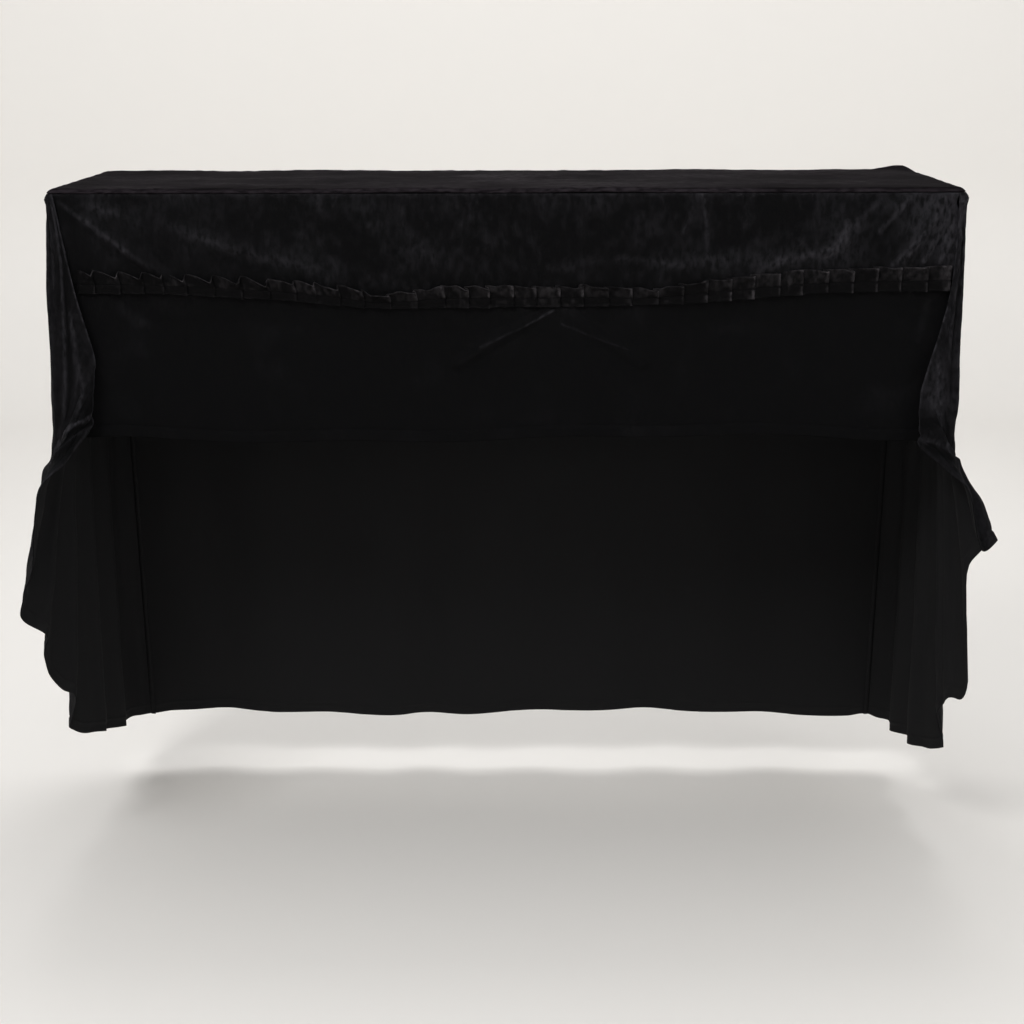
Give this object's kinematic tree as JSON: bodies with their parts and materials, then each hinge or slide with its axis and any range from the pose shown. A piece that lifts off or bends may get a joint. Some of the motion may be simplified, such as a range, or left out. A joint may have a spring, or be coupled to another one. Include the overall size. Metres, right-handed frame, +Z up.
{
  "type": "fitted velvet cover for an upright piano",
  "caption": "Black velvet upright piano cover with a pleated band, its front drop tucked back for playing and its sides gathered over the arms.",
  "frame": {"origin": "centre of the underside of the top panel, where the piano's lid carries the cover", "axes": "+X to the player's right along the cover's width, +Y back towards the wall, +Z up"},
  "size_m": [1.6328, 0.578, 1.1161],
  "materials": {
    "velvet": "black crushed velvet",
    "pleated_trim": "black velvet, knife pleated"
  },
  "bodies": {
    "root": {"top_panel": "velvet", "front_panel": "velvet", "front_skirt": "velvet", "pleated_band": "pleated_trim", "side_panel_left": "velvet", "side_panel_right": "velvet", "back_panel": "velvet"}
  },
  "joints": []
}
